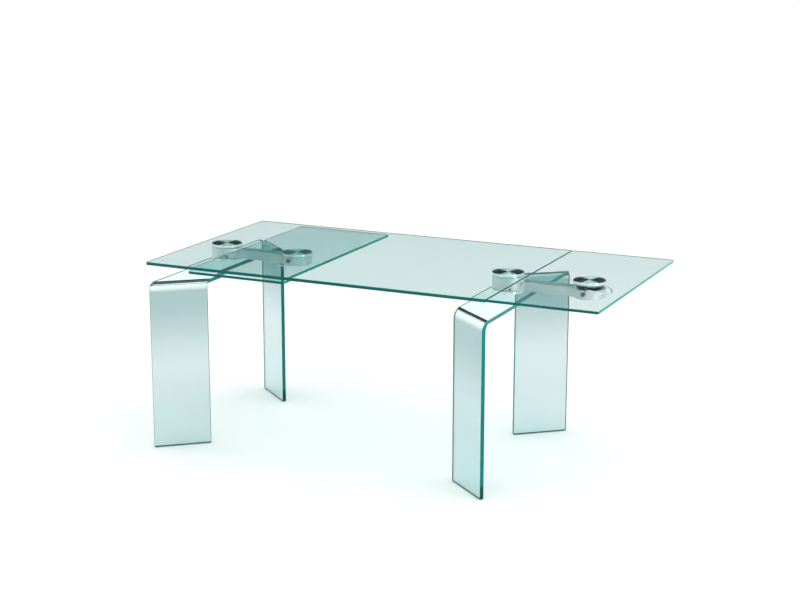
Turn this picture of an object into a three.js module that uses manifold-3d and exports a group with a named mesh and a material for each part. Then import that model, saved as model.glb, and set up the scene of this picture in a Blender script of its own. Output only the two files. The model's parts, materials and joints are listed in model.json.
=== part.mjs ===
// Extendable glass dining table: a 1.4 m clear glass top on two bent glass bases, with a glass leaf
// at each end. Each leaf hangs on a cast swing arm that pivots on a steel column. Swung inwards and
// lowered, the leaf hides under the main top (left side here). Swung outwards and raised, it lies
// flush with it (right side here).
// A wire bail at the end of the arm turns a pinion shaft, and its rack lifts or lowers the leaf.
// Millimetres, +Z up, X along the table, origin on the floor under the middle of the whole object.

import * as THREE from 'three';
import { mergeVertices } from 'three/addons/utils/BufferGeometryUtils.js';
import Module from 'manifold-3d';

const wasm = await Module();
wasm.setup();

// ---------------------------------------------------------------- driving dimensions
const TOP_LENGTH = 1400;
const TOP_WIDTH = 900;
const TOP_THICKNESS = 12;
const TABLE_HEIGHT = 745;
const LEAF_LENGTH = 410;
const LEAF_THICKNESS = 10;
const LEAF_GAP = 4; // between the main top and a raised leaf
const LIFT = 18; // travel of a leaf between hidden and flush

const BASE_GLASS = 15;
const PLATE_TOP = 660; // upper face of the base glass
const PAD_HEIGHT = 3;
const BEND_RADIUS = 34; // outside radius of the bent glass
const BEND_STEPS = 10;
const PANE_ANGLE = THREE.MathUtils.degToRad(40); // between a leg pane and the table's long axis
const PANE_WIDTH = 223;
const PANE_CORNER = new THREE.Vector2(688.4, -449.5); // outer face at the table's corner, front right
const EDGE_TURN = 19.8; // along the bend, from its lower end, to where the side edge turns parallel to Y
const EDGE_BLEND = 10; // half the length over which that edge turns

const COLUMN_X = 608; // pivot columns, either side of the middle
const ARM_LENGTH = 320; // from the column's axis to the leaf boss's axis
const HEAD_RADIUS = 60; // both ends of the arm
const DISC_RADIUS = 61;
const DISC_THICKNESS = 10;
const ARM_BOTTOM = 672;
const ARM_TOP = 706;
const HUB_TOP = 720.7;
const BEAM_HALF_WIDTH = 24;
const FLARE_RADIUS = 60; // concave fillet between the beam and each round end
const GAP = 0.3; // between faces that touch

const LARGE_ROUND = 36; // facets round the discs, hubs and cups
const SMALL_ROUND = 18; // round the shafts and sleeves
const SCREW_ROUND = 8;

const COLUMN_RADIUS = 20;
const HUB_BORE = 24;
const SHAFT_HEIGHT = 695; // axis of the pinion shaft, along Y
const SHAFT_RADIUS = 5;
const PISTON_TOP_RADIUS = 57.5;
const PISTON_FOOT_RADIUS = 48;
const PISTON_CAVITY = 42;
const PISTON_ROOF = 3;
const TEETH = 13;
const MODULE = 1;
const PITCH_RADIUS = TEETH * MODULE / 2;
const PRESSURE_ANGLE = THREE.MathUtils.degToRad(25);
const BACKLASH = 0.25; // taken off each tooth's thickness
const BAIL_WIRE = 2; // radius of the bail's wire
const BAIL_SIDE = 67; // how far the bail's legs stand from the arm's middle plane
const SHAFT_END = 75; // from the arm's middle plane
const KNOB_INNER = 69.6;
const KNOB_OUTER = 77.5;

const SCREW_HEAD = 3.5;
const SCREW_SHANK = 2;
const SCREW_HOLE = 2.3;
const SLOT_HALF = 8; // half the width of the piston's slots
const BEYOND = 5; // how far a cutting tool reaches past what it cuts

const COLOURS = {
  glass: { color: 0xbfe3dc, roughness: 0.03, metalness: 0, transparent: true, opacity: 0.45 },
  satin: { color: 0xb4b8b9, roughness: 0.38, metalness: 0.9 },
  turned: { color: 0x9ea3a4, roughness: 0.16, metalness: 1 },
  chrome: { color: 0xc9cccd, roughness: 0.06, metalness: 1 },
  bronze: { color: 0x9a7443, roughness: 0.45, metalness: 0.9 },
  nylon: { color: 0xd8d8d0, roughness: 0.6, metalness: 0 },
  pad: { color: 0x243834, roughness: 0.7, metalness: 0 },
  screw: { color: 0x2c2f30, roughness: 0.4, metalness: 0.8 },
};

// ---------------------------------------------------------------- solids
function closedGeometry(source) {
  const geometry = source.clone();
  geometry.deleteAttribute('normal');
  geometry.deleteAttribute('uv');
  const merged = mergeVertices(geometry, 1e-4);
  const index = [];
  for (let i = 0; i < merged.index.count; i += 3) {
    const [a, b, c] = [0, 1, 2].map((k) => merged.index.getX(i + k));
    if (a !== b && b !== c && c !== a) index.push(a, b, c);
  }
  merged.setIndex(index);
  return volumeOf(merged) < 0 ? turnedInsideOut(merged) : merged;
}

function volumeOf(geometry) {
  const corners = [0, 1, 2].map(() => new THREE.Vector3());
  let sum = 0;
  for (let i = 0; i < geometry.index.count; i += 3) {
    corners.forEach((p, k) => {
      p.fromBufferAttribute(geometry.attributes.position, geometry.index.getX(i + k));
    });
    sum += corners[0].dot(corners[1].clone().cross(corners[2])) / 6;
  }
  return sum;
}

function turnedInsideOut(geometry) {
  const index = Array.from(geometry.index.array);
  for (let i = 0; i < index.length; i += 3) [index[i], index[i + 1]] = [index[i + 1], index[i]];
  geometry.setIndex(index);
  return geometry;
}

function solid(geometry) {
  const closed = closedGeometry(geometry);
  const vertProperties = Float32Array.from(closed.attributes.position.array);
  const triVerts = Uint32Array.from(closed.index.array);
  return new wasm.Manifold(new wasm.Mesh({ numProp: 3, vertProperties, triVerts }));
}

function geometryFrom(manifold) {
  const { vertProperties, triVerts, numProp } = manifold.getMesh();
  const geometry = new THREE.BufferGeometry();
  const position = new Float32Array(vertProperties.length / numProp * 3);
  for (let v = 0; v < position.length / 3; v += 1) {
    for (let k = 0; k < 3; k += 1) position[3 * v + k] = vertProperties[numProp * v + k];
  }
  geometry.setAttribute('position', new THREE.BufferAttribute(position, 3));
  geometry.setIndex(Array.from(triVerts));
  return geometry;
}

const cut = (body, ...tools) => geometryFrom(
  tools.reduce((left, tool) => left.subtract(solid(tool)), solid(body)),
);
const join = (body, ...others) => geometryFrom(
  others.reduce((sum, other) => sum.add(solid(other)), solid(body)),
);

// A solid of revolution about Z from [radius, z] points, closed on itself or on the axis.
function turned(profile, segments) {
  const points = profile.map(([r, z]) => new THREE.Vector2(r, z));
  return new THREE.LatheGeometry(points, segments).rotateX(Math.PI / 2);
}

const disc = (radius, low, high, segments = LARGE_ROUND) =>
  turned([[0, low], [radius, low], [radius, high], [0, high]], segments);

const ring = (inner, outer, low, high, segments = LARGE_ROUND) =>
  turned([[inner, low], [outer, low], [outer, high], [inner, high], [inner, low]], segments);

const alongY = (geometry) => geometry.rotateX(-Math.PI / 2);

function block(x, y, z) {
  const box = new THREE.BoxGeometry(x[1] - x[0], y[1] - y[0], z[1] - z[0]);
  return box.translate((x[0] + x[1]) / 2, (y[0] + y[1]) / 2, (z[0] + z[1]) / 2);
}

function prism(outline, low, high) {
  const shape = new THREE.Shape(outline);
  return new THREE.ExtrudeGeometry(shape, { depth: high - low, bevelEnabled: false }).translate(0, 0, low);
}

function arc(cx, cy, radius, from, to, steps) {
  return Array.from({ length: steps + 1 }, (_, i) => {
    const angle = from + (to - from) * i / steps;
    return new THREE.Vector2(cx + radius * Math.cos(angle), cy + radius * Math.sin(angle));
  });
}

// ---------------------------------------------------------------- glass
const slab = (length, width, thickness) =>
  block([-length / 2, length / 2], [-width / 2, width / 2], [-thickness, 0]);

// How far the side edges have turned inwards at a length s along the middle of the bend.
function edgeShift(s) {
  const start = EDGE_TURN - EDGE_BLEND;
  const end = EDGE_TURN + EDGE_BLEND;
  if (s <= start) return 0;
  const along = s < end ? (s - start) ** 2 / (2 * (end - start)) : s - EDGE_TURN;
  return -Math.tan(PANE_ANGLE) * along;
}

// One base: a strip of glass that runs along Y and bends down at both ends into leg panes that stand
// askew under the table's corners. It is a ribbon of cross lines, each with an upper and a lower side.
function baseGlass() {
  const along = new THREE.Vector2(Math.cos(PANE_ANGLE), -Math.sin(PANE_ANGLE));
  const inwards = new THREE.Vector2(Math.sin(PANE_ANGLE), Math.cos(PANE_ANGLE));
  const corner = (u, w, z) => {
    const p = PANE_CORNER.clone().addScaledVector(along, u).addScaledVector(inwards, w);
    return new THREE.Vector3(p.x, p.y, z);
  };
  const crossLine = (shift, outer, inner) => [
    corner(shift - PANE_WIDTH, outer.w, outer.z),
    corner(shift, outer.w, outer.z),
    corner(shift, inner.w, inner.z),
    corner(shift - PANE_WIDTH, inner.w, inner.z),
  ];
  const front = [crossLine(0, { w: 0, z: PAD_HEIGHT + GAP }, { w: BASE_GLASS, z: PAD_HEIGHT + GAP })];
  const inside = BEND_RADIUS - BASE_GLASS;
  const middle = BEND_RADIUS - BASE_GLASS / 2;
  for (let i = 0; i <= BEND_STEPS; i += 1) {
    const turn = Math.PI / 2 * i / BEND_STEPS;
    const side = (radius) => ({
      w: BEND_RADIUS - radius * Math.cos(turn),
      z: PLATE_TOP - BEND_RADIUS + radius * Math.sin(turn),
    });
    front.push(crossLine(edgeShift(middle * turn), side(BEND_RADIUS), side(inside)));
  }
  const mirrored = (p) => new THREE.Vector3(p.x, -p.y, p.z);
  const lines = [...front, ...front.map((line) => line.map(mirrored)).reverse()];
  const positions = lines.flat().flatMap((p) => p.toArray());
  const index = [0, 1, 2, 0, 2, 3];
  const last = 4 * (lines.length - 1);
  index.push(last, last + 2, last + 1, last, last + 3, last + 2);
  for (let i = 0; i + 1 < lines.length; i += 1) {
    for (let k = 0; k < 4; k += 1) {
      const [a, b] = [4 * i + k, 4 * i + (k + 1) % 4];
      index.push(a, a + 4, b + 4, a, b + 4, b);
    }
  }
  const geometry = new THREE.BufferGeometry();
  geometry.setAttribute('position', new THREE.BufferAttribute(new Float32Array(positions), 3));
  geometry.setIndex(index);
  return closedGeometry(geometry);
}

// A strip under the foot of a leg pane, a little shorter and thinner than the glass.
function footPad() {
  const inset = 1;
  const pad = block([-PANE_WIDTH + 3 * inset, -3 * inset], [inset, BASE_GLASS - inset], [0, PAD_HEIGHT]);
  return pad.rotateZ(-PANE_ANGLE).translate(PANE_CORNER.x, PANE_CORNER.y, 0);
}

// ---------------------------------------------------------------- column, about its own axis
const FLANGE_TOP = 670;
const WASHER = 1.4;
const DISC_BOTTOM = TABLE_HEIGHT - TOP_THICKNESS - GAP - DISC_THICKNESS;

const baseFlange = () => ring(COLUMN_RADIUS + GAP, HEAD_RADIUS - 1, PLATE_TOP + GAP, FLANGE_TOP);
const columnShaft = () => disc(COLUMN_RADIUS, PLATE_TOP + GAP, DISC_BOTTOM + 4);
const washer = (radius, low) => ring(COLUMN_RADIUS + GAP, radius, low, low + WASHER);
const lowerWasher = () => washer(HEAD_RADIUS - 4, FLANGE_TOP + GAP);
const upperWasher = () => washer(HEAD_RADIUS - 3, HUB_TOP + GAP);
const armBush = () => ring(COLUMN_RADIUS + GAP, HUB_BORE - GAP, ARM_BOTTOM + 1, HUB_TOP - 1);

function columnDisc() {
  const pocket = COLUMN_RADIUS + GAP;
  const roof = DISC_BOTTOM + 4 + GAP;
  return turned([
    [0, roof], [pocket, roof], [pocket, DISC_BOTTOM], [DISC_RADIUS, DISC_BOTTOM],
    [DISC_RADIUS, DISC_BOTTOM + DISC_THICKNESS], [0, DISC_BOTTOM + DISC_THICKNESS],
  ], LARGE_ROUND);
}

// ---------------------------------------------------------------- swing arm, from its column out along +X
const BOSS_BOTTOM = 671;
const COVER_TOP = 673.4;
const COVER_RADIUS = 50;
const CAVITY_FLOOR_RADIUS = 38; // the boss narrows here, and the cover's screws go into it
const PISTON_HEIGHT = LIFT;
const SEAT_HEIGHT = 688; // foot of the conical seat in the boss
const COVER_SCREW_CIRCLE = 44;
const COVER_SCREW_ANGLES = [Math.PI / 3, Math.PI, 5 * Math.PI / 3];
const PRESSURE_SCREW_ANGLE = THREE.MathUtils.degToRad(-62);
const PRESSURE_SCREW_HEIGHT = 679;
const PRESSURE_SCREW_RADIUS = 4;
const COVER_SCREW_TIP = 683;
const BUSH_RADIUS = 7.5;
const BUSH_INNER_END = 54; // from the arm's middle plane
const BUSH_COLLAR = 2; // its extra radius
const BUSH_OUTER_END = HEAD_RADIUS + 2.5;

function armOutline() {
  const reach = HEAD_RADIUS + FLARE_RADIUS;
  const flareY = BEAM_HALF_WIDTH + FLARE_RADIUS;
  const flareX = Math.sqrt(reach ** 2 - flareY ** 2);
  const touch = Math.atan2(flareY, flareX);
  const quarter = Math.PI / 2;
  return [
    ...arc(0, 0, HEAD_RADIUS, touch, 2 * Math.PI - touch, 26),
    ...arc(flareX, -flareY, FLARE_RADIUS, Math.PI - touch, quarter, 6).slice(1),
    ...arc(ARM_LENGTH - flareX, -flareY, FLARE_RADIUS, quarter, touch, 6),
    ...arc(ARM_LENGTH, 0, HEAD_RADIUS, touch - Math.PI, Math.PI - touch, 26).slice(1),
    ...arc(ARM_LENGTH - flareX, flareY, FLARE_RADIUS, -touch, -quarter, 6).slice(1),
    ...arc(flareX, flareY, FLARE_RADIUS, -quarter, touch - Math.PI, 6).slice(0, -1),
  ];
}

const onBoss = (geometry) => geometry.translate(ARM_LENGTH, 0, 0);

function coverScrewHoles(radius, low, high) {
  return COVER_SCREW_ANGLES.map((angle) => onBoss(disc(radius, low, high, SCREW_ROUND)
    .translate(COVER_SCREW_CIRCLE * Math.cos(angle), COVER_SCREW_CIRCLE * Math.sin(angle), 0)));
}

function pressureScrewAt(radius, from, to) {
  const screw = disc(radius, from, to, SMALL_ROUND).rotateY(Math.PI / 2).rotateZ(PRESSURE_SCREW_ANGLE);
  return screw.translate(0, 0, PRESSURE_SCREW_HEIGHT);
}

function arm() {
  const seatSlope = (PISTON_TOP_RADIUS - PISTON_FOOT_RADIUS) / PISTON_HEIGHT;
  const seatFoot = PISTON_FOOT_RADIUS + 0.5;
  const above = ARM_TOP + 4;
  const seat = turned([
    [0, SEAT_HEIGHT], [seatFoot, SEAT_HEIGHT],
    [seatFoot + seatSlope * (above - SEAT_HEIGHT), above], [0, above],
  ], LARGE_ROUND);
  const reach = HEAD_RADIUS + BEYOND;
  const crossBore = alongY(disc(BUSH_RADIUS + GAP, -reach, reach, SMALL_ROUND));
  const body = join(prism(armOutline(), ARM_BOTTOM, ARM_TOP), disc(HEAD_RADIUS, ARM_BOTTOM, HUB_TOP));
  return cut(
    body,
    disc(HUB_BORE, ARM_BOTTOM - BEYOND, HUB_TOP + BEYOND),
    onBoss(seat),
    onBoss(disc(CAVITY_FLOOR_RADIUS, ARM_BOTTOM - BEYOND, SEAT_HEIGHT + BEYOND)),
    onBoss(disc(COVER_RADIUS + GAP, ARM_BOTTOM - BEYOND, COVER_TOP + GAP)),
    ...coverScrewHoles(SCREW_HOLE, ARM_BOTTOM - BEYOND, COVER_SCREW_TIP + 1),
    onBoss(crossBore.translate(0, 0, SHAFT_HEIGHT)),
    pressureScrewAt(PRESSURE_SCREW_RADIUS + GAP, HUB_BORE - 1, HEAD_RADIUS + BEYOND),
  );
}

const bossCover = () => cut(
  onBoss(disc(COVER_RADIUS, BOSS_BOTTOM, COVER_TOP)),
  ...coverScrewHoles(SCREW_HOLE, BOSS_BOTTOM - BEYOND, COVER_TOP + BEYOND),
);

const screwShape = (headLow, headHigh, tip) => turned([
  [0, headLow], [SCREW_HEAD, headLow], [SCREW_HEAD, headHigh],
  [SCREW_SHANK, headHigh], [SCREW_SHANK, tip], [0, tip],
], SCREW_ROUND);

const coverScrew = (angle) => onBoss(
  screwShape(BOSS_BOTTOM - 2.2, BOSS_BOTTOM - GAP, COVER_SCREW_TIP)
    .translate(COVER_SCREW_CIRCLE * Math.cos(angle), COVER_SCREW_CIRCLE * Math.sin(angle), 0),
);

const pressureScrew = () =>
  pressureScrewAt(PRESSURE_SCREW_RADIUS, HUB_BORE + GAP, HEAD_RADIUS - 1.5);

// A flanged sleeve in the boss's wall, for one end of the pinion shaft. side: -1 front, 1 back.
function shaftBush(side) {
  const inner = SHAFT_RADIUS + 0.1;
  const collar = BUSH_RADIUS + BUSH_COLLAR;
  const sleeve = turned([
    [inner, BUSH_INNER_END], [BUSH_RADIUS, BUSH_INNER_END], [BUSH_RADIUS, HEAD_RADIUS + GAP],
    [collar, HEAD_RADIUS + GAP], [collar, BUSH_OUTER_END], [inner, BUSH_OUTER_END], [inner, BUSH_INNER_END],
  ], SMALL_ROUND);
  return onBoss(sleeve.rotateX(side < 0 ? Math.PI / 2 : -Math.PI / 2).translate(0, 0, SHAFT_HEIGHT));
}

// ---------------------------------------------------------------- lever, about the pinion shaft's axis
const PINION_HALF = 5; // half the length of the pinion's teeth and of the rack's

function pinionOutline() {
  const base = PITCH_RADIUS * Math.cos(PRESSURE_ANGLE);
  const tip = PITCH_RADIUS + MODULE - 0.05;
  const root = PITCH_RADIUS - 1.25 * MODULE;
  const involute = (r) => Math.sqrt((r / base) ** 2 - 1) - Math.acos(base / r);
  const half = (Math.PI * MODULE / 2 - BACKLASH) / (2 * PITCH_RADIUS) + involute(PITCH_RADIUS);
  const radii = [0, 1, 2].map((i) => base + (tip - base) * i / 2);
  const point = (r, angle) => new THREE.Vector2(r * Math.cos(angle), r * Math.sin(angle));
  return Array.from({ length: TEETH }, (_, tooth) => {
    const middle = 2 * Math.PI * (tooth + 0.5) / TEETH;
    const rising = radii.map((r) => point(r, middle - half + involute(r)));
    const falling = radii.map((r) => point(r, middle + half - involute(r))).reverse();
    return [point(root, middle - half), ...rising, ...falling, point(root, middle + half)];
  }).flat();
}

function pinionShaft() {
  const teeth = prism(pinionOutline(), -PINION_HALF, PINION_HALF).rotateX(Math.PI / 2);
  return join(alongY(disc(SHAFT_RADIUS, -SHAFT_END, SHAFT_END, SMALL_ROUND)), teeth);
}

// The bail's wire, from the front knob round to the back one, as it stands with the leaf raised.
function bail() {
  const leg = [
    [0, -BAIL_SIDE, SHAFT_RADIUS + BAIL_WIRE / 2], [2, -BAIL_SIDE, 11], [9, -BAIL_SIDE, 16],
    [20, -BAIL_SIDE, 16.5], [36, -BAIL_SIDE + 3, 12.5], [56, -54, 6], [74, -34, 0.5],
  ];
  const points = [...leg, [84, 0, -2.5], ...leg.map(([x, y, z]) => [x, -y, z]).reverse()];
  const route = new THREE.CatmullRomCurve3(points.map((p) => new THREE.Vector3(...p)), false, 'centripetal');
  const section = new THREE.Shape(arc(0, 0, BAIL_WIRE, 0, 2 * Math.PI, 6).slice(0, -1));
  return new THREE.ExtrudeGeometry(section, { steps: LARGE_ROUND, extrudePath: route });
}

function knob(side) {
  const pocket = SHAFT_RADIUS + GAP;
  const shape = turned([
    [0, SHAFT_END + GAP], [pocket, SHAFT_END + GAP], [pocket, KNOB_INNER], [7, KNOB_INNER],
    [8, KNOB_INNER + 1], [8, KNOB_OUTER - 1], [7, KNOB_OUTER], [0, KNOB_OUTER],
  ], SMALL_ROUND);
  return shape.rotateX(side < 0 ? Math.PI / 2 : -Math.PI / 2);
}

// ---------------------------------------------------------------- leaf lift, with the leaf raised
const LEAF_BOTTOM = TABLE_HEIGHT - LEAF_THICKNESS;
const LEAF_DISC_LOW = LEAF_BOTTOM - GAP - DISC_THICKNESS;
const PISTON_TOP = LEAF_DISC_LOW - GAP;
const PISTON_FOOT = PISTON_TOP - PISTON_HEIGHT;
const ROOF_UNDER = PISTON_TOP - PISTON_ROOF;
const PISTON_SCREW_CIRCLE = 30;
const PISTON_SCREW_TIP = LEAF_DISC_LOW + 6;
const PISTON_SCREW_ANGLES = [0, 2 * Math.PI / 3, 4 * Math.PI / 3];
const RACK_FOOT = 3;
const RACK_REACH = 36; // how far the rack's foot runs under the roof
const RACK_BACK = 15;
const RACK_OVERHANG = 14.3; // below the piston's foot

function pistonScrewHoles(radius, low, high) {
  return PISTON_SCREW_ANGLES.map((angle) => disc(radius, low, high, SCREW_ROUND)
    .translate(PISTON_SCREW_CIRCLE * Math.cos(angle), PISTON_SCREW_CIRCLE * Math.sin(angle), 0));
}

const leafDisc = () => cut(
  disc(DISC_RADIUS, LEAF_DISC_LOW, LEAF_DISC_LOW + DISC_THICKNESS),
  ...pistonScrewHoles(SCREW_HOLE, LEAF_DISC_LOW - 1, PISTON_SCREW_TIP + 1),
);

// A tapered cup, open below, whose two slots straddle the pinion shaft when the leaf is down.
function liftPiston() {
  const cup = turned([
    [0, ROOF_UNDER], [PISTON_CAVITY, ROOF_UNDER], [PISTON_CAVITY, PISTON_FOOT],
    [PISTON_FOOT_RADIUS, PISTON_FOOT], [PISTON_TOP_RADIUS, PISTON_TOP], [0, PISTON_TOP],
  ], LARGE_ROUND);
  const slotEnd = HEAD_RADIUS + BEYOND;
  const slot = block([-SLOT_HALF, SLOT_HALF], [-slotEnd, slotEnd], [PISTON_FOOT - 1, ROOF_UNDER - GAP]);
  return cut(cup, slot, ...pistonScrewHoles(SCREW_HOLE, ROOF_UNDER - 1, PISTON_TOP + 1));
}

// The rack hangs beside the pinion from a foot under the piston's roof, its teeth towards -X.
function liftRack() {
  const top = ROOF_UNDER - GAP;
  const foot = PISTON_FOOT - RACK_OVERHANG;
  const pitch = Math.PI * MODULE;
  const pitchLine = PITCH_RADIUS + 0.12;
  const tipX = pitchLine - MODULE;
  const rootX = pitchLine + 1.25 * MODULE;
  const slope = Math.tan(PRESSURE_ANGLE);
  const halfPitchLine = (pitch / 2 - BACKLASH) / 2;
  const teeth = [];
  for (let k = -9; k <= 9; k += 1) {
    const middle = SHAFT_HEIGHT + k * pitch;
    const halfRoot = halfPitchLine + slope * (rootX - pitchLine);
    const halfTip = halfPitchLine - slope * (pitchLine - tipX);
    if (middle - halfRoot > foot && middle + halfRoot < top - RACK_FOOT) {
      teeth.push([rootX, middle - halfRoot], [tipX, middle - halfTip]);
      teeth.push([tipX, middle + halfTip], [rootX, middle + halfRoot]);
    }
  }
  const outline = [
    [rootX, foot], ...teeth, [rootX, top], [RACK_REACH, top], [RACK_REACH, top - RACK_FOOT],
    [RACK_BACK, top - RACK_FOOT], [RACK_BACK, foot],
  ].map(([x, z]) => new THREE.Vector2(x, z));
  const bar = prism(outline, -PINION_HALF, PINION_HALF).rotateX(Math.PI / 2);
  const hole = disc(SCREW_HOLE, top - 2 * BEYOND, top + BEYOND, SCREW_ROUND);
  return cut(bar, hole.translate(PISTON_SCREW_CIRCLE, 0, 0));
}

// The first of these screws also holds the rack's foot, so its head sits lower.
function pistonScrew(angle) {
  const seat = angle === 0 ? ROOF_UNDER - GAP - RACK_FOOT - GAP : ROOF_UNDER - GAP;
  return screwShape(seat - 1.6, seat, PISTON_SCREW_TIP)
    .translate(PISTON_SCREW_CIRCLE * Math.cos(angle), PISTON_SCREW_CIRCLE * Math.sin(angle), 0);
}

const leafEdge = LEAF_GAP + TOP_LENGTH / 2 - COLUMN_X; // from the column's axis to the leaf's near edge
const leaf = () => slab(LEAF_LENGTH, TOP_WIDTH, LEAF_THICKNESS)
  .translate(leafEdge + LEAF_LENGTH / 2 - ARM_LENGTH, 0, TABLE_HEIGHT);

// ---------------------------------------------------------------- assembly
function piece(name, geometry, look) {
  const mesh = new THREE.Mesh(geometry, new THREE.MeshStandardMaterial(COLOURS[look]));
  mesh.name = name;
  return mesh;
}

function base(side, mirrorX) {
  const group = new THREE.Group();
  const placed = (geometry) => closedGeometry(geometry.scale(mirrorX, 1, 1));
  group.add(piece(`${side}_base_glass`, placed(baseGlass()), 'glass'));
  [['front', 1], ['back', -1]].forEach(([end, mirrorY]) => {
    group.add(piece(`${side}_${end}_foot_pad`, placed(footPad().scale(1, mirrorY, 1)), 'pad'));
  });
  return group;
}

function swingSide(side, columnX, lowered) {
  const column = new THREE.Group();
  column.position.x = columnX;
  column.add(
    piece(`${side}_base_flange`, baseFlange(), 'turned'),
    piece(`${side}_column_shaft`, columnShaft(), 'satin'),
    piece(`${side}_lower_thrust_washer`, lowerWasher(), 'nylon'),
    piece(`${side}_upper_thrust_washer`, upperWasher(), 'nylon'),
    piece(`${side}_column_disc`, columnDisc(), 'turned'),
    piece(`${side}_arm`, arm(), 'satin'),
    piece(`${side}_arm_bush`, armBush(), 'bronze'),
    piece(`${side}_pressure_screw`, pressureScrew(), 'screw'),
    piece(`${side}_boss_cover`, bossCover(), 'satin'),
    ...COVER_SCREW_ANGLES.map(
      (angle, i) => piece(`${side}_cover_screw_${i + 1}`, coverScrew(angle), 'screw'),
    ),
    piece(`${side}_front_shaft_bush`, shaftBush(-1), 'bronze'),
    piece(`${side}_back_shaft_bush`, shaftBush(1), 'bronze'),
  );

  const lever = new THREE.Group();
  lever.position.set(ARM_LENGTH, 0, SHAFT_HEIGHT);
  lever.rotation.y = lowered / PITCH_RADIUS;
  lever.add(
    piece(`${side}_pinion_shaft`, pinionShaft(), 'chrome'),
    piece(`${side}_bail`, bail(), 'chrome'),
    piece(`${side}_front_knob`, knob(-1), 'turned'),
    piece(`${side}_back_knob`, knob(1), 'turned'),
  );

  const lifted = new THREE.Group();
  lifted.position.set(ARM_LENGTH, 0, -lowered);
  lifted.add(
    piece(`${side}_leaf`, leaf(), 'glass'),
    piece(`${side}_leaf_disc`, leafDisc(), 'turned'),
    piece(`${side}_lift_piston`, liftPiston(), 'turned'),
    piece(`${side}_lift_rack`, liftRack(), 'satin'),
    ...PISTON_SCREW_ANGLES.map(
      (angle, i) => piece(`${side}_piston_screw_${i + 1}`, pistonScrew(angle), 'screw'),
    ),
  );
  column.add(lever, lifted);
  return column;
}

const table = new THREE.Group();
table.position.x = -(LEAF_GAP + LEAF_LENGTH) / 2;
table.add(
  piece('main_top', slab(TOP_LENGTH, TOP_WIDTH, TOP_THICKNESS).translate(0, 0, TABLE_HEIGHT), 'glass'),
  base('left', -1),
  base('right', 1),
  swingSide('left', -COLUMN_X, LIFT),
  swingSide('right', COLUMN_X, 0),
);

export default table;
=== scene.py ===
# %% [markdown]
# # An extendable glass dining table
# The table is a clear glass top on two bent glass bases, with a leaf on a swing arm at each end. The packed
# model gives every place and size, so this lesson adds the fine shapes and the finishes. All values are in
# metres.

# %% Load the frame
import json
import math

import bmesh
import bpy
from mathutils import Matrix, Vector


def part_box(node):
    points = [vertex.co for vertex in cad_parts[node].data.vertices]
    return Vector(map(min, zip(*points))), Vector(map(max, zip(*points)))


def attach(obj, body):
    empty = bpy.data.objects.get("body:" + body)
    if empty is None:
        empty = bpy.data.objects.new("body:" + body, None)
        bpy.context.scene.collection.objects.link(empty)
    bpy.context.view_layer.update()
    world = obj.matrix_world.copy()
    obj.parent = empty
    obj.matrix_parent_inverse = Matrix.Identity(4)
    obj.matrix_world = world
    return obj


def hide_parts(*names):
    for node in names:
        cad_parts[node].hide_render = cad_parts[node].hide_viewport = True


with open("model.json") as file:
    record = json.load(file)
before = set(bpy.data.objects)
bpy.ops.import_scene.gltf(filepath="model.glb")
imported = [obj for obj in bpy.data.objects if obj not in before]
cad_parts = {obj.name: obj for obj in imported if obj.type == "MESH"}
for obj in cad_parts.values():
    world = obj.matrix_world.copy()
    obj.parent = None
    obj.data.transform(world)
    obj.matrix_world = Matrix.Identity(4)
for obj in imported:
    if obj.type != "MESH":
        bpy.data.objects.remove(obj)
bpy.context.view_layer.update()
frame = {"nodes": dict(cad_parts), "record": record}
body_of = {node: body for body, nodes in frame["record"]["behaviour"]["bodies"].items() for node in nodes}
MM = 0.001
SIDES = ("left", "right")

# %% [markdown]
# ## Camera
# A camera's matrix has its right, up and backward directions as columns. Writing them from an azimuth, an
# elevation and a little roll is exact, where turning it by three Euler angles is easy to get wrong.

# %% Camera
AZIMUTH = math.radians(25.033)
ELEVATION = math.radians(13.827)
ROLL = math.radians(0.078)
CAMERA_PLACE = Vector((2.697, -5.8732, 2.1812))
LENS = 77.68


def place_camera():
    right = Vector((math.cos(AZIMUTH), math.sin(AZIMUTH), 0))
    back = Vector((math.sin(AZIMUTH) * math.cos(ELEVATION), -math.cos(AZIMUTH) * math.cos(ELEVATION),
                   math.sin(ELEVATION)))
    up = back.cross(right)
    rolled_right = right * math.cos(ROLL) + up * math.sin(ROLL)
    rolled_up = up * math.cos(ROLL) - right * math.sin(ROLL)
    turn = Matrix((rolled_right, rolled_up, back)).transposed().to_4x4()
    camera = bpy.data.objects.new("camera", bpy.data.cameras.new("camera"))
    camera.data.lens = LENS
    camera.data.clip_end = 200
    camera.matrix_world = Matrix.Translation(CAMERA_PLACE) @ turn
    bpy.context.collection.objects.link(camera)
    bpy.context.scene.camera = camera


place_camera()

# %% [markdown]
# ## Shader maths
# A material is a network of nodes. Long networks are easier to read as formulas, so Value wraps the output
# of a node, and adding or multiplying Values adds the Math nodes. Any other node comes from Recipe.add.


# %% Shader helpers
class Value:
    """One output socket of a node tree. Arithmetic on it adds Math nodes."""

    def __init__(self, recipe, socket):
        self.recipe = recipe
        self.socket = socket

    def math(self, operation, other=None):
        sockets = {0: self} if other is None else {0: self, 1: other}
        return self.recipe.add("ShaderNodeMath", {"operation": operation}, sockets)

    def __add__(self, other):
        return self.math("ADD", other)

    __radd__ = __add__

    def __sub__(self, other):
        return self.math("SUBTRACT", other)

    def __rsub__(self, other):
        return self * -1 + other

    def __mul__(self, other):
        return self.math("MULTIPLY", other)

    __rmul__ = __mul__

    def step(self, low, high):
        """0 below low, 1 above high, and smooth between. low may be the larger, which turns it round."""
        settings = {"interpolation_type": "SMOOTHSTEP"}
        if low < high:
            return self.recipe.add("ShaderNodeMapRange", settings, {0: self, 1: low, 2: high})
        return 1 - self.recipe.add("ShaderNodeMapRange", settings, {0: self, 1: high, 2: low})


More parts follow.
